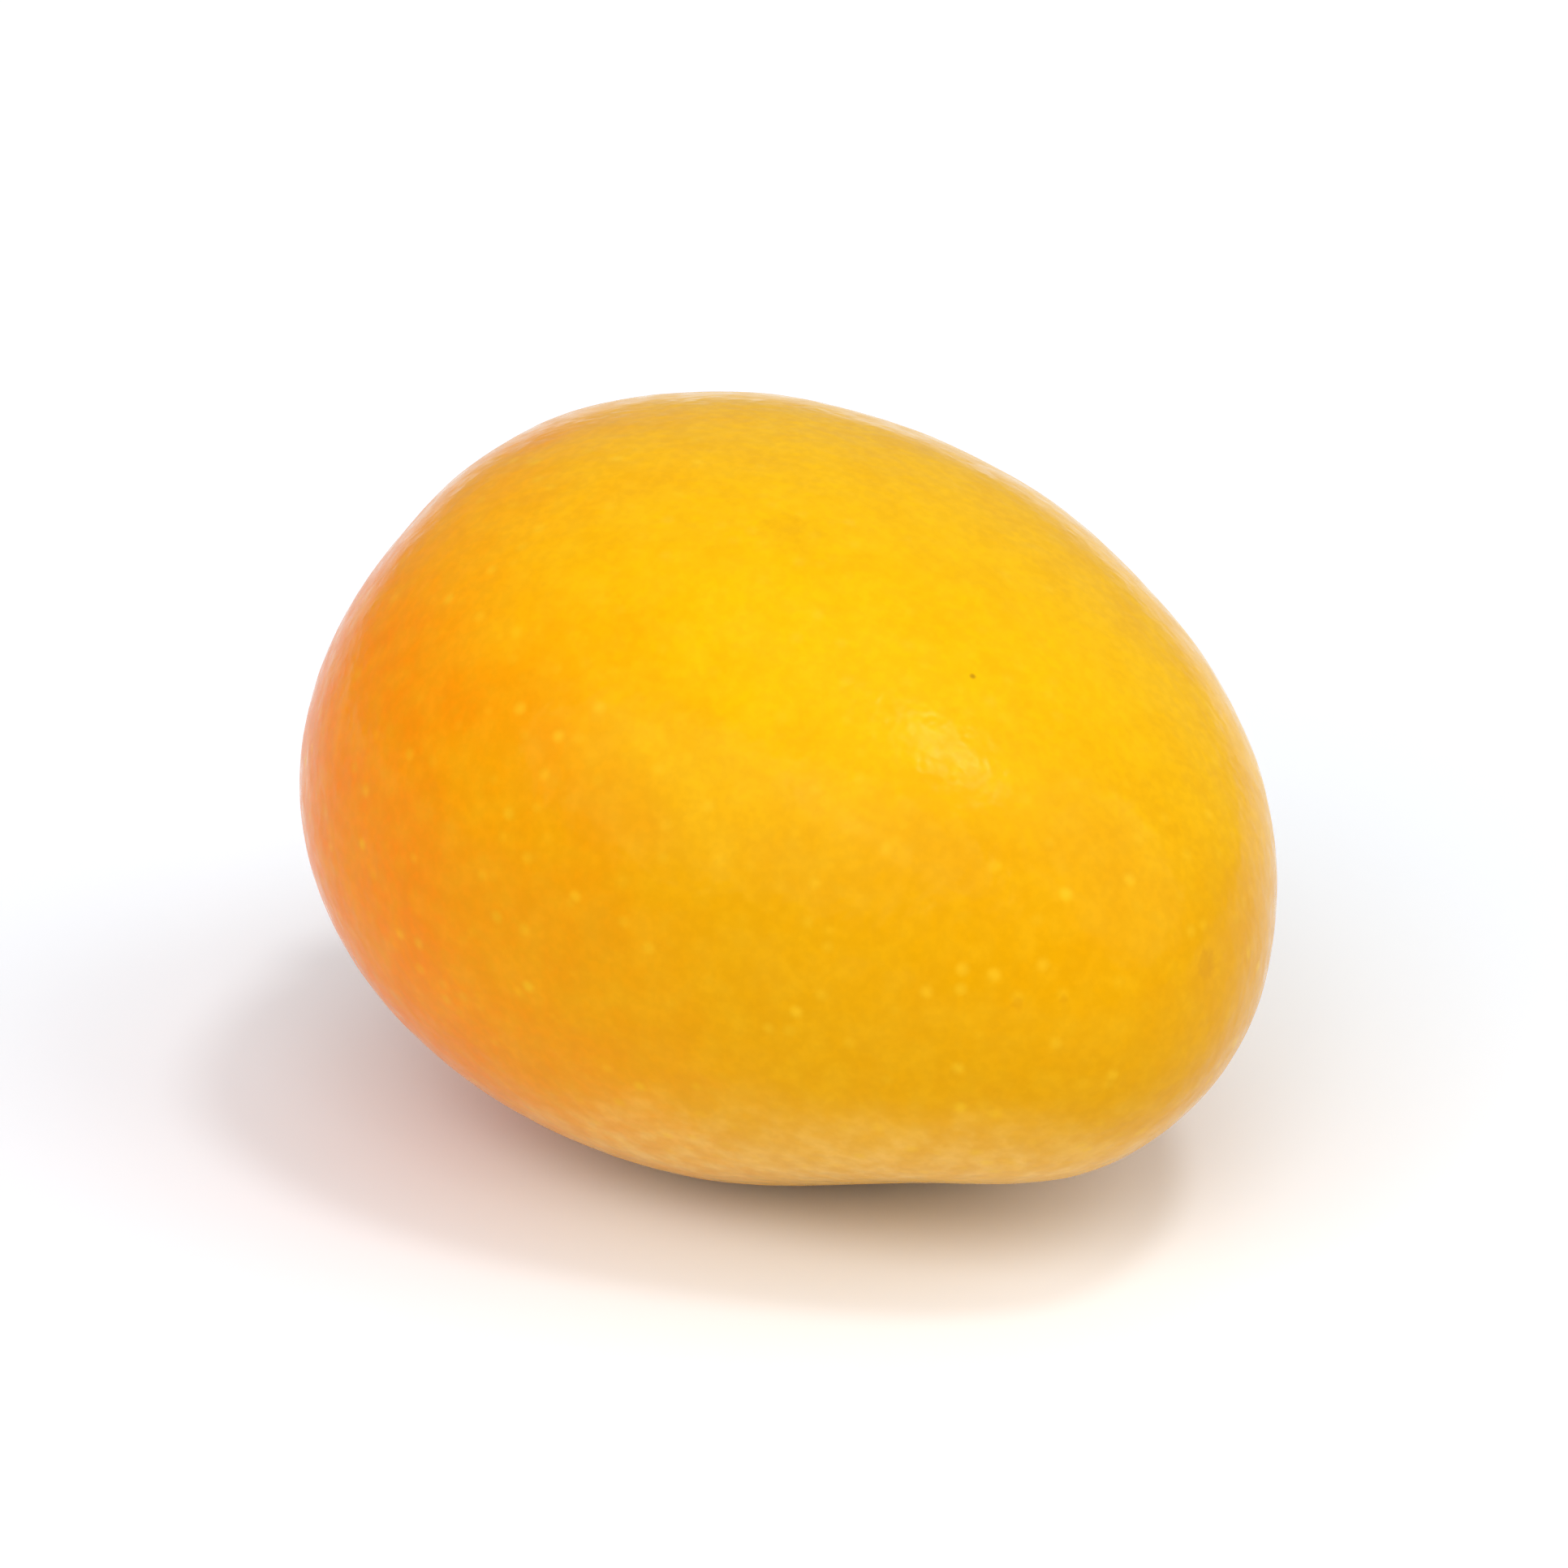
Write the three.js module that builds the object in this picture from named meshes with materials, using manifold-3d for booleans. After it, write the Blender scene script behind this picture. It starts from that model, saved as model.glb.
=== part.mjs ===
// A ripe yellow mango lying on its cheek, with the short stump of the stem it was cut from.
//
// Millimetres, +Z up. +X runs along the fruit from the stem end to the tip, and -Y is its belly.
// The origin is on the surface the mango lies on, under the middle of its box.

import * as THREE from "three";
import { mergeVertices } from "three/addons/utils/BufferGeometryUtils.js";
import Module from "manifold-3d";

// Driving dimensions of the plain egg, before its swells and hollows
const LENGTH = 100; // from the stem end to the tip
const WIDTH = 80; // from the back to the belly
const THICKNESS = 68; // from cheek to cheek
const SQUARENESS = 0.1; // how much fuller than an ellipse a slice across the fruit is

// How much slimmer the fruit is than an even egg, as factors of t, t^3 and t^4, where t runs from
// -1 at the stem end to 1 at the tip
const TAPER = { steady: -0.16, atEnds: -0.03, bothEnds: 0.08 };

// How far the middle line leaves a straight one: arched along t^2, and leaning along t^3, so that
// the stem end sits towards the back and the tip towards the belly
const ARCH = -3;
const LEAN = -4.75;

// Low swells (height above 0) and hollows (below 0) of the skin. "along" is degrees from the stem
// end to the tip, "round" is degrees about the long axis from the back over the upper cheek, and
// "spread" is degrees from the middle of the swell to its shoulder.
const SWELLS = [
  { name: "hollow of the belly near the tip", along: 120, round: -118, height: -1.2, spread: 11 },
  { name: "flat of the shoulder", along: 30, round: 125, height: -1, spread: 13 },
  { name: "cheek behind the hollow", along: 140, round: -105, height: 0.5, spread: 12 },
  { name: "full belly of the lower cheek", along: 90, round: -128, height: 0.6, spread: 14 },
  { name: "back of the tip", along: 132, round: 32, height: 0.4, spread: 14 },
];

// The shallow basin round the stem
const BASIN_DEPTH = 2.4;
const BASIN_SPREAD = 6.5;

// How the fruit lies: its tip is the lower end, and its soft cheek rests on a small flat spot
const TIP_DOWN = 6.9; // degrees
const FLAT_DEPTH = 0.9;

// The stem stump: a woody peg in a socket of the fruit, with a low collar over the skin
const PEG_RADIUS = 2.6;
const PEG_HEIGHT = 3.6; // above the floor of the basin
const PEG_ROOT = 1.2; // below the floor of the basin
const COLLAR_RADIUS = 3.7;
const COLLAR_UNDERSIDE = 0.5; // above the floor of the basin
const COLLAR_THICKNESS = 0.9;
const CLEARANCE = 0.3; // left between the peg and its socket

// Facets
const FRUIT_SEGMENTS = 64; // round the long axis
const FRUIT_RINGS = 44; // along it
const STEM_SEGMENTS = 24;

const TO_STEM = new THREE.Vector3(-1, 0, 0);

const manifold = await Module();
manifold.setup();

function skinMaterial() {
  return new THREE.MeshStandardMaterial({ color: 0xf9b30a, roughness: 0.45, metalness: 0 });
}

function stemMaterial() {
  return new THREE.MeshStandardMaterial({ color: 0x6e6a30, roughness: 0.85, metalness: 0 });
}

// A closed geometry as a solid that can be cut
function toSolid(geometry) {
  const bare = geometry.clone();
  bare.deleteAttribute("normal");
  bare.deleteAttribute("uv");
  const merged = mergeVertices(bare);
  const mesh = new manifold.Mesh({
    numProp: 3,
    vertProperties: merged.attributes.position.array,
    triVerts: Uint32Array.from(merged.index.array),
  });
  return new manifold.Manifold(mesh);
}

// A solid back as a geometry, with a flat normal for each facet
function toGeometry(solid) {
  const mesh = solid.getMesh();
  const indexed = new THREE.BufferGeometry();
  indexed.setAttribute("position", new THREE.BufferAttribute(mesh.vertProperties, 3));
  indexed.setIndex(new THREE.BufferAttribute(mesh.triVerts, 1));
  const geometry = indexed.toNonIndexed();
  geometry.computeVertexNormals();
  return geometry;
}

// The unit direction at "along" degrees from the stem end and "round" degrees about the long axis
function directionAt(along, round) {
  const a = THREE.MathUtils.degToRad(along);
  const r = THREE.MathUtils.degToRad(round);
  return new THREE.Vector3(-Math.cos(a), Math.sin(a) * Math.cos(r), Math.sin(a) * Math.sin(r));
}

// How far the middle line is off the long axis, towards the back
function middleLine(t) {
  return ARCH * (t ** 2 - 1 / 3) + LEAN * t ** 3;
}

// A bell curve: 1 in the middle, and near 0 beyond three spreads
function bell(distance, spread) {
  return Math.exp(-0.5 * (distance / spread) ** 2);
}

// The plain egg's point for a unit direction
function eggPoint(direction) {
  const { x: t, y, z } = direction;
  const power = 2 + SQUARENESS;
  const offAxis = Math.hypot(y, z);
  const squared = (Math.abs(y) ** power + Math.abs(z) ** power) ** (1 / power);
  const fullness = squared > 0 ? offAxis / squared : 1;
  const taper = 1 + TAPER.steady * t + TAPER.atEnds * t ** 3 + TAPER.bothEnds * t ** 4;
  return new THREE.Vector3(
    (LENGTH / 2) * t,
    (WIDTH / 2) * y * taper * fullness + middleLine(t),
    (THICKNESS / 2) * z * taper * fullness,
  );
}

// The skin's point for a unit direction: the egg, its swells and hollows, and the stem's basin
function skinPoint(direction) {
  const point = eggPoint(direction);
  for (const swell of SWELLS) {
    const angle = direction.angleTo(directionAt(swell.along, swell.round));
    const height = swell.height * bell(THREE.MathUtils.radToDeg(angle), swell.spread);
    point.addScaledVector(direction, height);
  }
  if (direction.x < 0) {
    const fromStem = Math.hypot(point.y - middleLine(-1), point.z);
    point.x += BASIN_DEPTH * bell(fromStem, BASIN_SPREAD);
  }
  return point;
}

// The whole skin in the fruit's own frame, with its long axis level
function fruitBody() {
  const geometry = new THREE.SphereGeometry(1, FRUIT_SEGMENTS, FRUIT_RINGS);
  geometry.rotateZ(-Math.PI / 2); // the sphere's poles go to the stem end and the tip
  const position = geometry.attributes.position;
  const direction = new THREE.Vector3();
  for (let i = 0; i < position.count; i++) {
    direction.fromBufferAttribute(position, i).normalize();
    const point = skinPoint(direction);
    position.setXYZ(i, point.x, point.y, point.z);
  }
  return geometry;
}

// The socket that the stem's peg stands in
function socketCutter() {
  const radius = PEG_RADIUS + CLEARANCE;
  const depth = PEG_ROOT + CLEARANCE;
  const cutter = new THREE.CylinderGeometry(radius, radius, 2 * depth, STEM_SEGMENTS);
  cutter.rotateZ(Math.PI / 2);
  const floor = skinPoint(TO_STEM);
  cutter.translate(floor.x, floor.y, floor.z);
  return cutter;
}

// Everything below the flat spot, for a fruit that already lies as it rests
function flatCutter(lowest) {
  const side = 2 * LENGTH;
  const cutter = new THREE.BoxGeometry(side, side, side);
  cutter.translate(0, 0, lowest + FLAT_DEPTH - side / 2);
  return cutter;
}

function makeFruit() {
  const whole = toSolid(fruitBody()).subtract(toSolid(socketCutter()));
  const lying = toGeometry(whole);
  lying.rotateY(THREE.MathUtils.degToRad(TIP_DOWN));
  lying.computeBoundingBox();
  const resting = toSolid(lying).subtract(toSolid(flatCutter(lying.boundingBox.min.z)));
  const fruit = new THREE.Mesh(toGeometry(resting), skinMaterial());
  fruit.name = "fruit";
  return fruit;
}

function makeStemStub() {
  const collarTop = COLLAR_UNDERSIDE + COLLAR_THICKNESS;
  const profile = [
    new THREE.Vector2(0, -PEG_ROOT),
    new THREE.Vector2(PEG_RADIUS, -PEG_ROOT),
    new THREE.Vector2(PEG_RADIUS, COLLAR_UNDERSIDE),
    new THREE.Vector2(COLLAR_RADIUS, COLLAR_UNDERSIDE),
    new THREE.Vector2(COLLAR_RADIUS, COLLAR_UNDERSIDE + COLLAR_THICKNESS / 2),
    new THREE.Vector2(PEG_RADIUS + 0.3, collarTop),
    new THREE.Vector2(PEG_RADIUS, PEG_HEIGHT - 0.4),
    new THREE.Vector2(PEG_RADIUS - 0.4, PEG_HEIGHT),
    new THREE.Vector2(0, PEG_HEIGHT),
  ];
  const stub = new THREE.Mesh(new THREE.LatheGeometry(profile, STEM_SEGMENTS), stemMaterial());
  stub.name = "stem_stub";
  stub.rotation.z = Math.PI / 2; // it points away from the fruit
  stub.position.copy(skinPoint(TO_STEM));
  return stub;
}

function makeMango() {
  const stemEnd = new THREE.Group();
  stemEnd.rotation.y = THREE.MathUtils.degToRad(TIP_DOWN);
  stemEnd.add(makeStemStub());
  const mango = new THREE.Group();
  mango.add(makeFruit(), stemEnd);
  const box = new THREE.Box3().setFromObject(mango, true);
  const middle = box.getCenter(new THREE.Vector3());
  mango.position.set(-middle.x, -middle.y, -box.min.z);
  return mango;
}

export default makeMango();
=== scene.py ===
"""Looks of a ripe mango: its skin, its stem stump, a white floor, soft studio light and a camera."""
import math

import bmesh
import bpy
import numpy as np
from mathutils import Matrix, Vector, noise


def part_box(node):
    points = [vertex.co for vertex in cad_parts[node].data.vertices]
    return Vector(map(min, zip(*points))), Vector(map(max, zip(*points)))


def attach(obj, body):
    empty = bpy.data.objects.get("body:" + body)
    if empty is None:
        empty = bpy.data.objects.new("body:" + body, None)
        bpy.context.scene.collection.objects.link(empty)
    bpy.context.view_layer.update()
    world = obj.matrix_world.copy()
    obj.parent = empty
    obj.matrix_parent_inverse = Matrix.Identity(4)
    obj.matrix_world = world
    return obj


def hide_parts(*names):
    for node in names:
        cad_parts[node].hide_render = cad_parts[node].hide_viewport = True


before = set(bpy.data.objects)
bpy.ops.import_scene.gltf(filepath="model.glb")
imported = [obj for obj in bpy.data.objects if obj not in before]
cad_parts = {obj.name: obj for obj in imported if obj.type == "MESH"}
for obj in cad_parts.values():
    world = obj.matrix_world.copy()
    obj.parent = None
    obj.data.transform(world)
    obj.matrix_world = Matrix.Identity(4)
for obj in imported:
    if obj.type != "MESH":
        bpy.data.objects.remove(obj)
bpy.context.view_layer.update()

MM = 0.001  # metres, as every length is that isn't in millimetres by its comment
TINY = 1e-9  # keeps a division from failing on the long axis

# The fruit's shape, as in its CAD source. The long axis runs from the stem (-X) to the tip (+X),
# the back is +Y and the belly -Y, and the cheeks are above and below.
LENGTH, WIDTH, THICKNESS = 100 * MM, 80 * MM, 68 * MM
SQUARENESS = 0.1
TAPER_STEADY, TAPER_AT_ENDS, TAPER_BOTH_ENDS = -0.16, -0.03, 0.08
ARCH, LEAN = -3 * MM, -4.75 * MM
SWELLS = [  # degrees from stem to tip, degrees round from the back, height, spread in degrees
    (120, -118, -1.2 * MM, 11),  # hollow of the belly near the tip
    (30, 125, -1.0 * MM, 13),  # flat of the shoulder
    (140, -105, 0.5 * MM, 12),  # cheek behind the hollow
    (90, -128, 0.6 * MM, 14),  # full belly of the lower cheek
    (132, 32, 0.4 * MM, 14),  # back of the tip
]
BASIN_DEPTH, BASIN_SPREAD = 2.4 * MM, 6.5 * MM
TIP_DOWN = math.radians(6.9)

# The skin's mesh and relief
SKIN_CELLS = 120  # squares along each edge of the cube that is blown up into the skin
SEAM_DIGITS = 6  # decimals to which points on the cube's edges have to agree to be one point
WAVES = [(16 * MM, 0.16 * MM), (5 * MM, 0.035 * MM)]  # size and height of the skin's unevenness
WAVE_NOISE = (1.0, 2.0, 2)  # how fast the finer waves weaken, how much finer each is, how many
WAVE_SEED = Vector((-9.8, 6.2, -1.3))
SCAR_RADIUS, SCAR_WIDTH, SCAR_HEIGHT = 4.6 * MM, 0.7 * MM, 0.3 * MM  # raised ring round the stem
SCAR_LUMP_SIZE, SCAR_LUMPINESS = 1.5 * MM, 0.6
SCAR_REACH = 3 * SCAR_RADIUS  # beyond this distance there is nothing of the ring

# The skin's colours
GOLD = (0.85, 0.466, 0.0006, 1)
# deeper gold of the lower belly: partly the skin's own tone, partly painted shade
DEEP_GOLD_AND_SHADE = (0.725, 0.339, 0.0005, 1)
ORANGE = (0.86, 0.197, 0.0005, 1)
PALE_GOLD = (0.86, 0.52, 0.020, 1)
# a painted reflection of the white floor, pale and mottled, on the lower rim
PAINTED_FLOOR_REFLECTION = (0.90, 0.555, 0.130, 1)
GRAIN = (0.52, 0.24, 0.0004, 1)
SMUDGE = (0.62, 0.23, 0.0004, 1)
MARK = (0.62, 0.27, 0.003, 1)
SPECK = (0.22, 0.075, 0.006, 1)
GREEN_GOLD = (0.55, 0.38, 0.008, 1)
CORK = (0.055, 0.030, 0.029, 1)
CORK_CRUST = (0.17, 0.125, 0.10, 1)

# Sides of the fruit with a colour put on them: the direction of the side's middle, how far
# towards it the colour starts and is full (0 halfway round, 1 there), and how far that wanders
# the lower belly: deeper gold, partly the skin's own tone and partly painted shade
DEEP_AND_SHADED_SIDE = ((0.23, -0.54, -0.81), -0.34, 0.34, 0.16)
BLUSH_SIDE = ((-0.91, -0.38, -0.16), -0.06, 1.06, 0.12)
# the lower rim: a painted reflection of the white floor
PAINTED_FLOOR_REFLECTION_SIDE = ((0.30, -0.41, -0.86), 0.71, 0.98, 0.04)

# Cloudy patterns: the size of their lumps, the detail in them, and the two values of the noise
# between which they rise from nothing to full
DRIFT = (14 * MM, 4.0, 0.20, 0.80)  # how the edges of the sides wander
MOTTLES = (2.6 * MM, 4.0, 0.34, 0.74)  # paler, glossier blotches
GRAIN_CLOUDS = (1.0 * MM, 3.0, 0.30, 0.66)
SMUDGE_CLOUDS = (4.5 * MM, 3.0, 0.40, 0.70)
PORE_CLOUDS = (12 * MM, 2.0, 0.40, 0.60)  # where the pores show more
RAGGED = (1.1 * MM, 3.0, 0.20, 0.80)  # the edges of the marks
CRUST = (0.9 * MM, 3.0, 0.45, 0.75)  # pale flakes on the cork
BLOTCHES = (1.2 * MM, 4.0, 0.30, 0.70)  # on the stump

# How much of each colour shows: at most, or at least and at most
MOTTLE_SHARE = 0.14
# how much of the painted floor reflection shows, at least and at most
PAINTED_FLOOR_REFLECTION_SHARE = (0.38, 0.78)
PORE_SHARE = (0.15, 0.50)
GRAIN_SHARE = 0.16
SMUDGE_SHARE = 0.12
SPECK_SHARE = 0.65

# Scattered dots: how far apart they are, the radius to which a dot is full and the one where it
# ends, the share of the dots that don't show, and the share that don't show fully
PORES = (2.6 * MM, 0.10 * MM, 0.95 * MM, 0.10, 0.90)
SPECKS = (9.0 * MM, 0.20 * MM, 0.50 * MM, 0.45, 0.80)

MARKS = [  # degrees from stem to tip, degrees round from the back, radius, strength
    (90, 105, 3.0 * MM, 0.20),  # smudge on the upper cheek
    (94, 174, 2.6 * MM, 0.20),  # smudge on the belly
    (142, 162, 0.7 * MM, 0.45),  # flecks near the tip
    (148, 156, 0.5 * MM, 0.40),
    (166, 99, 1.4 * MM, 0.60),  # the spot at the tip, where the flower was
]
MARK_MIDDLE, MARK_EDGE, MARK_RAGGEDNESS = 0.3, 1.2, 0.5  # in radii of the mark

# Colours round the stem: the radius to which each is full, the one where it ends, and its strength
GREEN_RING = (5.5 * MM, 13.5 * MM, 0.5)
BROWN_RING = (5.5 * MM, 7.0 * MM, 0.8)
CORK_RING = (4.9 * MM, 6.0 * MM, 1.0)
RING_WANDER = 1.2 * MM

# The skin's gloss and fine bumps
WAXY_ROUGHNESS = (0.24, 0.12)  # between the mottles, and on them
CORK_ROUGHNESS = 0.85
SKIN_GLOSS, SKIN_GLOSS_TINT = 0.10, (1.0, 0.85, 0.40, 1)
PEBBLE_SIZE, PEBBLE_DETAIL, PEBBLE_DEPTH, PEBBLE_STRENGTH = 1.6 * MM, 1.0, 0.15 * MM, 0.5

# The stem stump
STUB_SEGMENTS = 48
STUB_PROFILE = [  # radius and height above the floor of the basin, in millimetres
    (2.5, -1.1), (2.55, 0.1), (3.3, 0.25), (3.65, 0.6), (3.6, 1.0), (3.2, 1.35), (2.8, 1.6),
    (2.6, 2.1), (2.5, 2.7), (2.5, 3.15), (2.35, 3.4), (2.0, 3.5), (1.4, 3.4), (0.7, 3.35),
]
STUB_LUMPS = [(1.6, 0.5, 0.12), (5.0, 0.8, 0.05)]  # how fine round it and up it, and how big
STUB_LIFT, STUB_LIFT_SEED = 0.30, (7, 3)  # how far its rings rise and fall, in millimetres
BARK_DARK, BARK_PALE = (0.13, 0.11, 0.02, 1), (0.42, 0.34, 0.05, 1)
WOOD_DARK, WOOD_PALE = (0.15, 0.10, 0.04, 1), (0.38, 0.29, 0.13, 1)
STUB_FOOT = (0.6 * MM, 1.8 * MM, 1.0)  # dark up to the first height, and not above the second
CUT_START, CUT_FULL = 3.0 * MM, 3.25 * MM  # heights between which bark gives way to bare wood
PITH = (0.3 * MM, 0.8 * MM, 0.7)  # dark out to the first radius, and not beyond the second
BARK_EDGE_START, BARK_EDGE_FULL, BARK_EDGE_SHARE = 1.6 * MM, 2.1 * MM, 0.7  # dark rim of the cut
STUB_ROUGHNESS, STUB_BUMP_DEPTH, STUB_BUMP_STRENGTH = 0.8, 0.2 * MM, 0.6

# The floor, just under the fruit so that their faces don't coincide
FLOOR_SIDE, FLOOR_DROP = 12.0, 0.02 * MM
FLOOR_WHITE, FLOOR_ROUGHNESS, FLOOR_GLOSS = (0.90, 0.93, 0.97, 1), 0.9, 0.1

# The camera: right of the belly and above it, so that the tip comes towards it
CAMERA_AZIMUTH = math.radians(35.8)
CAMERA_ELEVATION = math.radians(24.5)
CAMERA_DISTANCE = 0.75
CAMERA_NEAREST, CAMERA_FURTHEST = 0.01, 20.0
FILLED_WIDTH = 0.62  # share of the picture's width that the fruit takes

# The light: soft lamps, so far away that they light the whole floor evenly, and a white dome
LAMPS = [  # azimuth, elevation and how wide it looks, in degrees, and strength
    (96, 71, 10, 0.50),  # overhead, the one whose gloss shows
    (96, 71, 50, 0.30),  # the softer light round it
    (36, 50, 30, 0.55),  # over the camera
    (0, 35, 50, 1.10),  # left
    (108, 35, 50, 0.80),  # right
]
WHITE = (1, 1, 1, 1)
DOME = 0.45
BACKDROP = 0.95  # how bright the camera sees the dome behind the floor


# ------------------------------------------------------------------ node help

# The Mix node has a set of sockets for each kind of data. These are the ones for colours.
MIX_SHARE, MIX_A, MIX_B, MIX_RESULT = 0, 6, 7, 2


def add(tree, kind, inputs=None, **settings):
    """Adds a shader node; inputs holds numbers, colours or the sockets that feed it."""
    node = tree.nodes.new(kind)
    for name, value in settings.items():
        setattr(node, name, value)
    for name, value in (inputs or {}).items():
        if isinstance(value, bpy.types.NodeSocket):
            tree.links.new(value, node.inputs[name])
        else:
            node.inputs[name].default_value = value
    return node


def calculate(tree, operation, *values):
    return add(tree, "ShaderNodeMath", dict(enumerate(values)), operation=operation).outputs[0]


def vector(tree, operation, a, b):
    """The vector that the operation gives, or its number if it gives one."""
    node = add(tree, "ShaderNodeVectorMath", {0: a, 1: b}, operation=operation)
    return node.outputs["Value" if operation in ("DOT_PRODUCT", "DISTANCE") else "Vector"]


def ramp(tree, value, start, end, low=0.0, high=1.0):
    """low where value is start, high where it is end, and smooth in between."""
    inputs = {"Value": value, "From Min": start, "From Max": end, "To Min": low, "To Max": high}
    node = add(tree, "ShaderNodeMapRange", inputs, interpolation_type="SMOOTHSTEP")
    return node.outputs["Result"]


def fading(tree, distance, edges):
    """Its full strength out to the first edge, and nothing from the second."""
    full, end, strength = edges
    return ramp(tree, distance, full, end, strength, 0.0)


def mix(tree, share, a, b):
    """Colour a where share is 0, and b where it is 1."""
    inputs = {MIX_SHARE: share, MIX_A: a, MIX_B: b}
    return add(tree, "ShaderNodeMix", inputs, data_type="RGBA").outputs[MIX_RESULT]


def clouds(tree, position, size, detail):
    """Cloudy noise from 0 to 1 whose lumps are about size across."""
    inputs = {"Vector": position, "Scale": 1 / size, "Detail": detail}
    return add(tree, "ShaderNodeTexNoise", inputs).outputs["Fac"]


def pattern(tree, position, cloudy, low=0.0, high=1.0):
    """A cloudy pattern: low where there is nothing of it, and high where it is full."""
    size, detail, start, full = cloudy
    return ramp(tree, clouds(tree, position, size, detail), start, full, low, high)


def new_material(name):
    """An empty material, its node tree and its Principled shader."""
    material = bpy.data.materials.new(name)
    material.use_nodes = True
    tree = material.node_tree
    tree.nodes.clear()
    shader = add(tree, "ShaderNodeBsdfPrincipled")
    add(tree, "ShaderNodeOutputMaterial", {"Surface": shader.outputs["BSDF"]})
    return material, tree, shader


def object_position(tree):
    return add(tree, "ShaderNodeTexCoord").outputs["Object"]


def add_bump(tree, shader, height, strength, depth):
    bump = add(tree, "ShaderNodeBump", {"Height": height, "Strength": strength, "Distance": depth})
    tree.links.new(bump.outputs["Normal"], shader.inputs["Normal"])


# ------------------------------------------------------------ the fruit's shape

def unit(along, turn):
    """The unit direction at those degrees from stem to tip, and round from the back."""
    a, r = math.radians(along), math.radians(turn)
    return np.array([-math.cos(a), math.sin(a) * math.cos(r), math.sin(a) * math.sin(r)])


def bell(distance, spread):
    return np.exp(-0.5 * (distance / spread) ** 2)


def middle_line(t):
    """How far the middle of the fruit is off its long axis, t from -1 at the stem to 1 at the tip."""
    return ARCH * (t ** 2 - 1 / 3) + LEAN * t ** 3


def level_points(directions):
    """The smooth skin's points for unit directions, with the fruit's long axis level."""
    t, y, z = directions.T
    power = 2 + SQUARENESS
    squared = (np.abs(y) ** power + np.abs(z) ** power) ** (1 / power)
    fullness = np.hypot(y, z) / np.maximum(squared, TINY)
    size = fullness * (1 + TAPER_STEADY * t + TAPER_AT_ENDS * t ** 3 + TAPER_BOTH_ENDS * t ** 4)
    points = np.stack([
        LENGTH / 2 * t,
        WIDTH / 2 * y * size + middle_line(t),
        THICKNESS / 2 * z * size,
    ], axis=1)
    for along, turn, height, spread in SWELLS:
        away = np.degrees(np.arccos(np.clip(directions @ unit(along, turn), -1, 1)))
        points += directions * (height * bell(away, spread))[:, None]
    from_stem = np.hypot(points[:, 1] - middle_line(-1), points[:, 2])
    points[:, 0] += np.where(t < 0, BASIN_DEPTH * bell(from_stem, BASIN_SPREAD), 0)
    return points


def cube_sphere(cells):
    """Directions and quads of a cube blown up into a sphere, with its points evenly spread."""
    steps = np.tan(np.linspace(-math.pi / 4, math.pi / 4, cells + 1))
    u, v = np.meshgrid(steps, steps, indexing="ij")
    one = np.ones_like(u)
    sides = [(one, u, v), (-one, v, u), (v, one, u), (u, -one, v), (u, v, one), (v, u, -one)]
    points = np.concatenate([np.stack(side, -1).reshape(-1, 3) for side in sides])
    points /= np.linalg.norm(points, axis=1)[:, None]
    seams = points.round(SEAM_DIGITS)
    _, first, shared = np.unique(seams, axis=0, return_index=True, return_inverse=True)
    corner = np.arange((cells + 1) ** 2).reshape(cells + 1, cells + 1)
    around = [corner[:-1, :-1], corner[1:, :-1], corner[1:, 1:], corner[:-1, 1:]]
    one_side = np.stack(around, -1).reshape(-1, 4)
    quads = np.concatenate([one_side + side * corner.size for side in range(len(sides))])
    return points[first], shared.reshape(-1)[quads]


class Lie:
    """How the fruit lies: its tip down, in the box where the frame holds the CAD fruit."""

    def __init__(self, directions):
        c, s = math.cos(TIP_DOWN), math.sin(TIP_DOWN)
        self.turn = np.array([[c, 0, -s], [0, 1, 0], [s, 0, c]])
        points = level_points(directions) @ self.turn
        low, high = (np.array(corner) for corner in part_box("fruit"))
        self.shift = (low + high) / 2 - (points.min(0) + points.max(0)) / 2
        self.shift[2] = high[2] - points[:, 2].max()  # the CAD fruit's lowest part is cut flat

    def points(self, directions):
        return level_points(directions) @ self.turn + self.shift

    def point(self, direction):
        return Vector(self.points(np.array([direction]))[0])

    def axis(self, direction):
        return Vector(np.array(direction) @ self.turn)


skin_directions, skin_quads = cube_sphere(SKIN_CELLS)
lie = Lie(skin_directions)
STEM_POINT = lie.point((-1, 0, 0))
STEM_AXIS = lie.axis((-1, 0, 0))


# -------------------------------------------------------------------- the skin

def relief(point):
    """How far the skin stands out at a point, from its unevenness and the scar round the stem."""
    height = sum(
        amount * noise.fractal(point / size + WAVE_SEED, *WAVE_NOISE) for size, amount in WAVES
    )
    out = point - STEM_POINT
    from_stem = (out - STEM_AXIS * out.dot(STEM_AXIS)).length
    if out.length < SCAR_REACH:
        lumps = 1 + SCAR_LUMPINESS * noise.noise(point / SCAR_LUMP_SIZE)
        height += SCAR_HEIGHT * lumps * math.exp(-((from_stem - SCAR_RADIUS) / SCAR_WIDTH) ** 2)
    return height


def make_skin():
    """The fruit's skin: an even mesh of its smooth shape, with fine unevenness, flat underneath."""
    mesh = bpy.data.meshes.new("fruit_skin")
    mesh.from_pydata(lie.points(skin_directions).tolist(), [], skin_quads.tolist())
    mesh.shade_smooth()
    for vertex, normal in zip(mesh.vertices, [n.vector.copy() for n in mesh.vertex_normals]):
        vertex.co += normal * relief(vertex.co)
        vertex.co.z = max(vertex.co.z, 0)
    skin = bpy.data.objects.new("fruit_skin", mesh)
    bpy.context.collection.objects.link(skin)
    return skin


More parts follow.
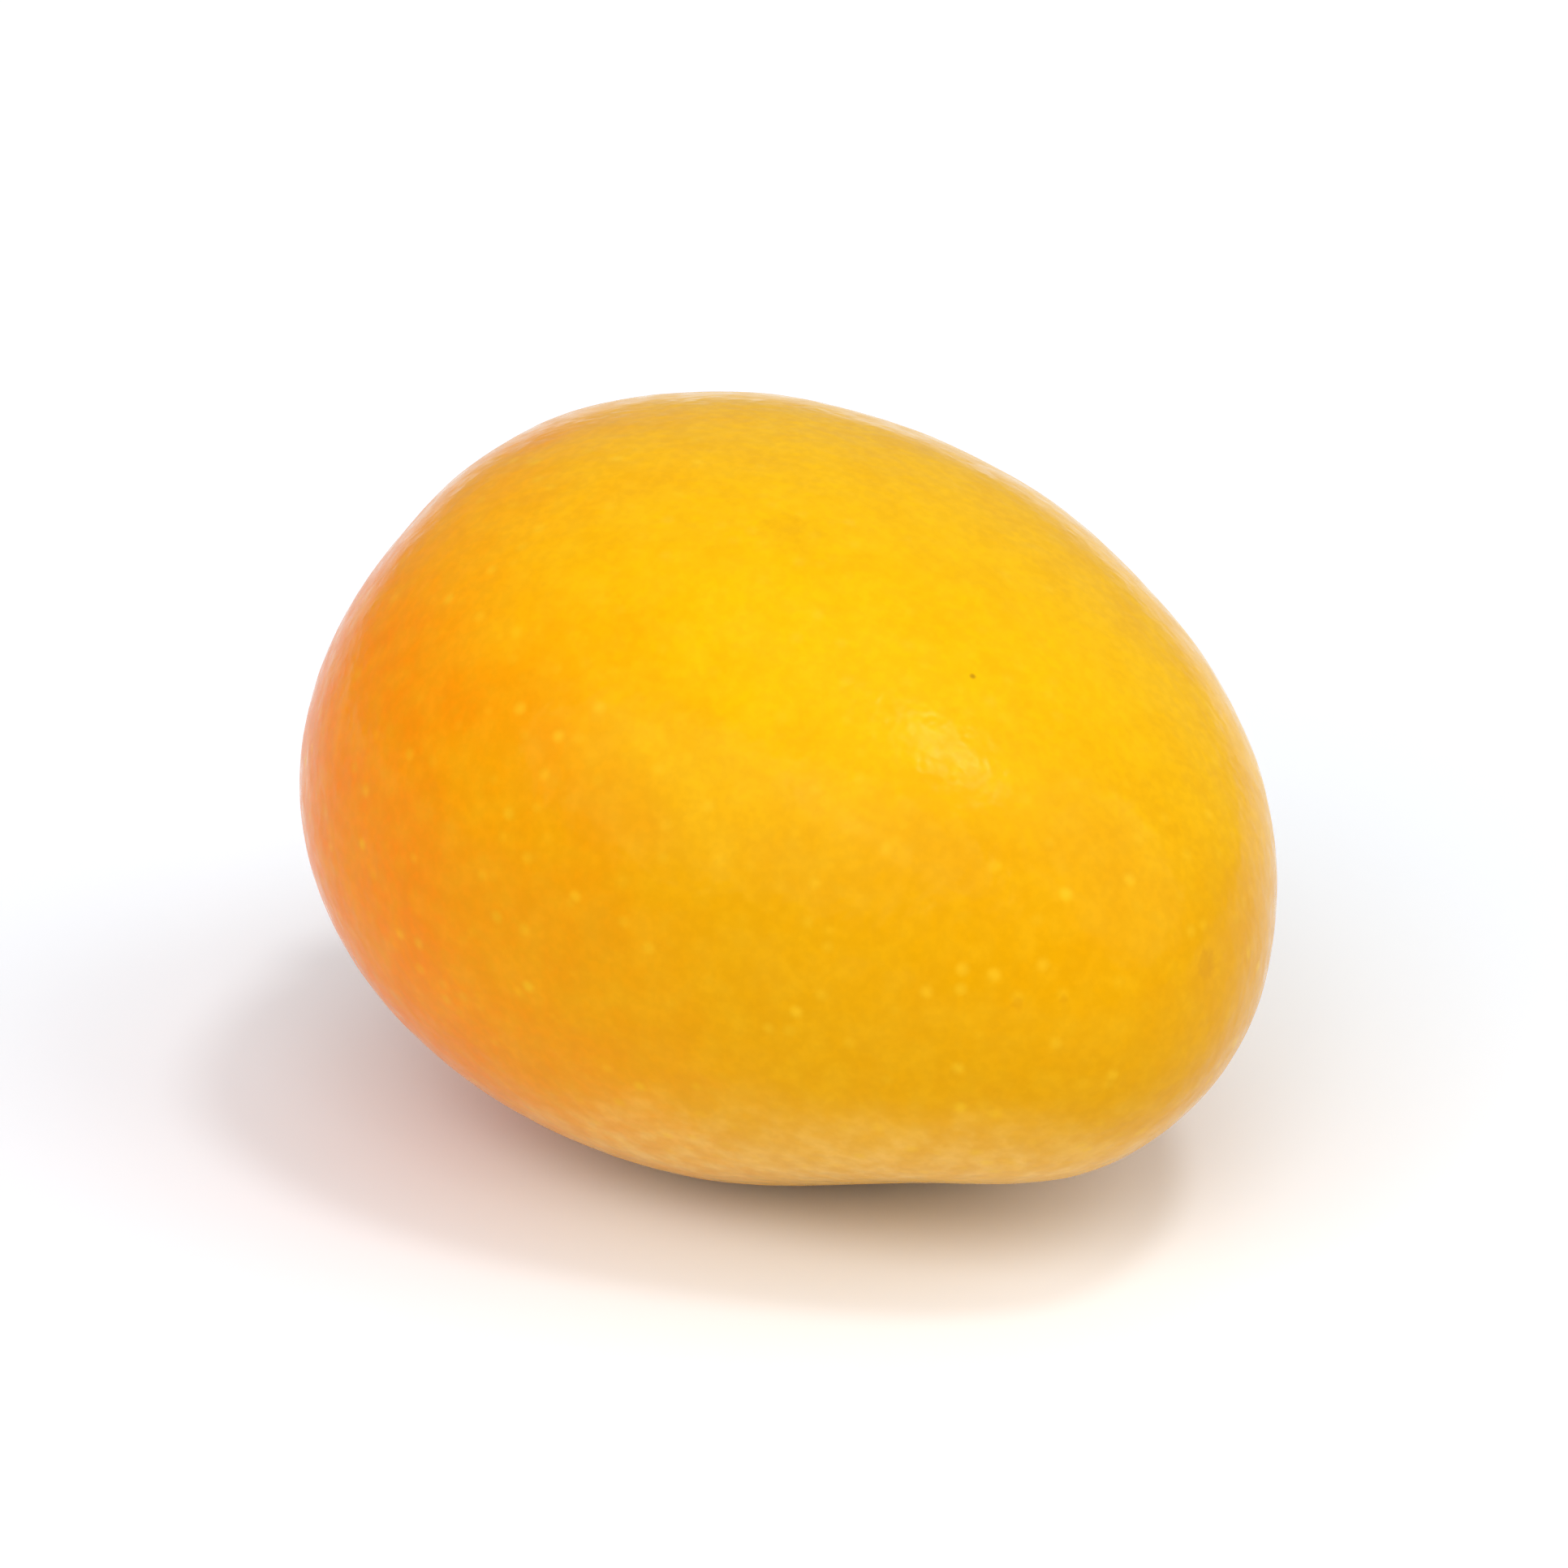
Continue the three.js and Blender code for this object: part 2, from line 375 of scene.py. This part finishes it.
def on_side(tree, position, drift, side):
    """0 on most of the skin, rising to 1 towards a side, with an edge that wanders as drift does."""
    direction, start, full, wander = side
    low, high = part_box("fruit")
    outward = vector(tree, "SUBTRACT", position, tuple((low + high) / 2))
    outward = vector(tree, "DIVIDE", outward, tuple((high - low) / 2))
    far = vector(tree, "DOT_PRODUCT", outward, direction)
    return ramp(tree, calculate(tree, "MULTIPLY_ADD", drift, wander, far), start, full)


def dots(tree, position, spacing, middle, edge, absent, partial):
    """Scattered dots, 1 out to the radius middle and 0 from the radius edge.

    A share of the dots, absent, doesn't show. From there up to the share partial they show more
    and more, and the rest show fully.
    """
    cells = add(tree, "ShaderNodeTexVoronoi", {"Vector": position, "Scale": 1 / spacing})
    distance = calculate(tree, "MULTIPLY", cells.outputs["Distance"], spacing)
    dot = ramp(tree, distance, middle, edge, 1.0, 0.0)
    chance = add(tree, "ShaderNodeSeparateColor", {0: cells.outputs["Color"]}).outputs[0]
    return calculate(tree, "MULTIPLY", dot, ramp(tree, chance, absent, partial))


def mark(tree, position, ragged, along, turn, radius, strength):
    """A soft smudge or a small fleck of the skin, with a ragged edge."""
    away = vector(tree, "DISTANCE", position, tuple(lie.point(unit(along, turn))))
    away = calculate(tree, "MULTIPLY_ADD", ragged, radius * MARK_RAGGEDNESS, away)
    return fading(tree, away, (MARK_MIDDLE * radius, MARK_EDGE * radius, strength))


def fruit_colour(tree, position, mottles):
    """The skin's colour apart from the rings round the stem, with painted shade and reflection below.
    """
    drift = pattern(tree, position, DRIFT, -1.0, 1.0)
    # deeper gold towards the lower belly, partly painted shade
    base = mix(tree, on_side(tree, position, drift, DEEP_AND_SHADED_SIDE), GOLD, DEEP_GOLD_AND_SHADE)
    base = mix(tree, on_side(tree, position, drift, BLUSH_SIDE), base, ORANGE)
    base = mix(tree, calculate(tree, "MULTIPLY", mottles, MOTTLE_SHARE), base, PALE_GOLD)

    # a painted reflection of the white floor along the lower rim, mottled
    thin, thick = PAINTED_FLOOR_REFLECTION_SHARE
    painted_reflection = calculate(tree, "MULTIPLY_ADD", mottles, thick - thin, thin)
    painted_reflection = calculate(tree, "MULTIPLY", on_side(tree, position, drift, PAINTED_FLOOR_REFLECTION_SIDE), painted_reflection)
    base = mix(tree, painted_reflection, base, PAINTED_FLOOR_REFLECTION)

    pore_share = pattern(tree, position, PORE_CLOUDS, *PORE_SHARE)
    pore = calculate(tree, "MULTIPLY", dots(tree, position, *PORES), pore_share)
    base = mix(tree, pore, base, PALE_GOLD)
    base = mix(tree, pattern(tree, position, GRAIN_CLOUDS, 0.0, GRAIN_SHARE), base, GRAIN)
    base = mix(tree, pattern(tree, position, SMUDGE_CLOUDS, 0.0, SMUDGE_SHARE), base, SMUDGE)

    ragged = pattern(tree, position, RAGGED, -1.0, 1.0)
    for place in MARKS:
        base = mix(tree, mark(tree, position, ragged, *place), base, MARK)
    speck = calculate(tree, "MULTIPLY", dots(tree, position, *SPECKS), SPECK_SHARE)
    return mix(tree, speck, base, SPECK)


def skin_material():
    """Golden skin with an orange blush, pores, specks, marks, painted shade and reflection, and a
    corky scar at the stem.
    """
    material, tree, shader = new_material("mango_skin")
    position = object_position(tree)
    mottles = pattern(tree, position, MOTTLES)
    base = fruit_colour(tree, position, mottles)

    from_stem = vector(tree, "DISTANCE", position, tuple(STEM_POINT))
    from_stem = calculate(tree, "MULTIPLY_ADD", mottles, RING_WANDER, from_stem)
    base = mix(tree, fading(tree, from_stem, GREEN_RING), base, GREEN_GOLD)
    base = mix(tree, fading(tree, from_stem, BROWN_RING), base, MARK)
    cork = fading(tree, from_stem, CORK_RING)
    flaky = mix(tree, pattern(tree, position, CRUST), CORK, CORK_CRUST)
    base = mix(tree, cork, base, flaky)
    tree.links.new(base, shader.inputs["Base Color"])

    waxy = ramp(tree, mottles, 0.0, 1.0, *WAXY_ROUGHNESS)
    dull = calculate(tree, "MULTIPLY", cork, CORK_ROUGHNESS)
    tree.links.new(calculate(tree, "MAXIMUM", waxy, dull), shader.inputs["Roughness"])
    shader.inputs["Specular IOR Level"].default_value = SKIN_GLOSS
    shader.inputs["Specular Tint"].default_value = SKIN_GLOSS_TINT

    pebbles = clouds(tree, position, PEBBLE_SIZE, PEBBLE_DETAIL)
    add_bump(tree, shader, pebbles, PEBBLE_STRENGTH, PEBBLE_DEPTH)
    return material


# -------------------------------------------------------------------- the stem

def stub_ring(radius, height):
    """The uneven ring of points of the stump at a radius and height in millimetres."""
    across = STEM_AXIS.orthogonal().normalized()
    other = STEM_AXIS.cross(across)
    ring = []
    for k in range(STUB_SEGMENTS):
        turn = 2 * math.pi * k / STUB_SEGMENTS
        outward = across * math.cos(turn) + other * math.sin(turn)
        lump = 1 + sum(
            size * noise.noise(outward * around + STEM_AXIS * height * up)
            for around, up, size in STUB_LUMPS
        )
        lift = STUB_LIFT * noise.noise(outward * radius + Vector((*STUB_LIFT_SEED, height)))
        place = outward * radius * lump + STEM_AXIS * (height + lift)
        ring.append(STEM_POINT + place * MM)
    return ring


def make_stub():
    """The stem stump: a peg with a collar, made uneven, with a rough cut end."""
    build = bmesh.new()
    rings = [[build.verts.new(point) for point in stub_ring(*step)] for step in STUB_PROFILE]
    for low, high in zip(rings, rings[1:]):
        for k in range(STUB_SEGMENTS):
            n = (k + 1) % STUB_SEGMENTS
            build.faces.new((low[k], low[n], high[n], high[k]))
    build.faces.new(rings[-1])
    build.faces.new(list(reversed(rings[0])))
    bmesh.ops.recalc_face_normals(build, faces=build.faces)
    mesh = bpy.data.meshes.new("stem_stump")
    build.to_mesh(mesh)
    build.free()
    mesh.shade_smooth()
    stub = bpy.data.objects.new("stem_stump", mesh)
    bpy.context.collection.objects.link(stub)
    return stub


def stub_material():
    """Olive bark, dark at its foot, and a bare wooden end with its pith and a dark edge."""
    material, tree, shader = new_material("stem_wood")
    position = object_position(tree)
    out = vector(tree, "SUBTRACT", position, tuple(STEM_POINT))
    height = vector(tree, "DOT_PRODUCT", out, tuple(STEM_AXIS))
    sideways = vector(tree, "CROSS_PRODUCT", out, tuple(STEM_AXIS))
    from_axis = vector(tree, "DISTANCE", sideways, (0, 0, 0))

    size, detail, start, full = BLOTCHES
    lumps = clouds(tree, position, size, detail)
    blotch = ramp(tree, lumps, start, full)
    bark = mix(tree, blotch, BARK_DARK, BARK_PALE)
    bark = mix(tree, fading(tree, height, STUB_FOOT), bark, CORK)
    wood = mix(tree, blotch, WOOD_DARK, WOOD_PALE)
    wood = mix(tree, fading(tree, from_axis, PITH), wood, CORK)
    edge = ramp(tree, from_axis, BARK_EDGE_START, BARK_EDGE_FULL, 0.0, BARK_EDGE_SHARE)
    wood = mix(tree, edge, wood, CORK)
    base = mix(tree, ramp(tree, height, CUT_START, CUT_FULL), bark, wood)
    tree.links.new(base, shader.inputs["Base Color"])

    shader.inputs["Roughness"].default_value = STUB_ROUGHNESS
    add_bump(tree, shader, lumps, STUB_BUMP_STRENGTH, STUB_BUMP_DEPTH)
    return material


# --------------------------------------------------------------------- the set

def make_floor():
    mesh = bpy.data.meshes.new("floor")
    far, down = FLOOR_SIDE / 2, -FLOOR_DROP
    corners = [(-far, -far, down), (far, -far, down), (far, far, down), (-far, far, down)]
    mesh.from_pydata(corners, [], [(0, 1, 2, 3)])
    floor = bpy.data.objects.new("floor", mesh)
    bpy.context.collection.objects.link(floor)
    material, _, shader = new_material("white_floor")
    shader.inputs["Base Color"].default_value = FLOOR_WHITE
    shader.inputs["Roughness"].default_value = FLOOR_ROUGHNESS
    shader.inputs["Specular IOR Level"].default_value = FLOOR_GLOSS
    mesh.materials.append(material)


def towards(azimuth, elevation):
    """The unit vector from the object to something at that azimuth and elevation."""
    level = math.cos(elevation)
    return Vector((math.sin(azimuth) * level, -math.cos(azimuth) * level, math.sin(elevation)))


def make_camera(points):
    """Aims a long lens so that the points fill their share of the picture's width, in its middle."""
    back = towards(CAMERA_AZIMUTH, CAMERA_ELEVATION)
    turn = back.to_track_quat("Z", "Y")
    right, up = turn @ Vector((1, 0, 0)), turn @ Vector((0, 1, 0))
    across, upward, depth = (points @ np.array(axis) for axis in (right, up, back))
    aim = right * (across.max() + across.min()) / 2 + up * (upward.max() + upward.min()) / 2
    data = bpy.data.cameras.new("camera")
    data.lens = data.sensor_width * CAMERA_DISTANCE * FILLED_WIDTH / (across.max() - across.min())
    data.clip_start, data.clip_end = CAMERA_NEAREST, CAMERA_FURTHEST
    camera = bpy.data.objects.new("camera", data)
    camera.rotation_mode = "QUATERNION"
    camera.rotation_quaternion = turn
    camera.location = aim + back * (depth.mean() + CAMERA_DISTANCE)
    bpy.context.collection.objects.link(camera)
    bpy.context.scene.camera = camera


def make_lamp(azimuth, elevation, width, strength):
    """A lamp so far away that its light is even; azimuth, elevation and width are in degrees."""
    data = bpy.data.lights.new("lamp", "SUN")
    data.angle = math.radians(width)
    data.energy = strength
    lamp = bpy.data.objects.new("lamp", data)
    lamp.rotation_mode = "QUATERNION"
    way = towards(math.radians(azimuth), math.radians(elevation))
    lamp.rotation_quaternion = way.to_track_quat("Z", "Y")
    bpy.context.collection.objects.link(lamp)


def make_dome():
    """An even white dome, which the camera sees as a pale backdrop."""
    world = bpy.data.worlds.new("studio")
    bpy.context.scene.world = world
    world.use_nodes = True
    tree = world.node_tree
    tree.nodes.clear()
    light = add(tree, "ShaderNodeBackground", {"Color": WHITE, "Strength": DOME})
    seen = add(tree, "ShaderNodeBackground", {"Color": WHITE, "Strength": BACKDROP})
    straight = add(tree, "ShaderNodeLightPath").outputs["Is Camera Ray"]
    both = add(tree, "ShaderNodeMixShader", {0: straight, 1: light.outputs[0], 2: seen.outputs[0]})
    add(tree, "ShaderNodeOutputWorld", {"Surface": both.outputs[0]})


# ----------------------------------------------------------------------- build

def dress(piece, material, node):
    """Gives a piece its material, and lets it stand for its CAD node."""
    piece.data.materials.append(material)
    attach(piece, "root")
    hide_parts(node)


skin = make_skin()
dress(skin, skin_material(), "fruit")
dress(make_stub(), stub_material(), "stem_stub")
make_floor()
make_camera(np.array([v.co for v in skin.data.vertices]))
for lamp in LAMPS:
    make_lamp(*lamp)
make_dome()
bpy.context.scene.view_settings.view_transform = "Standard"
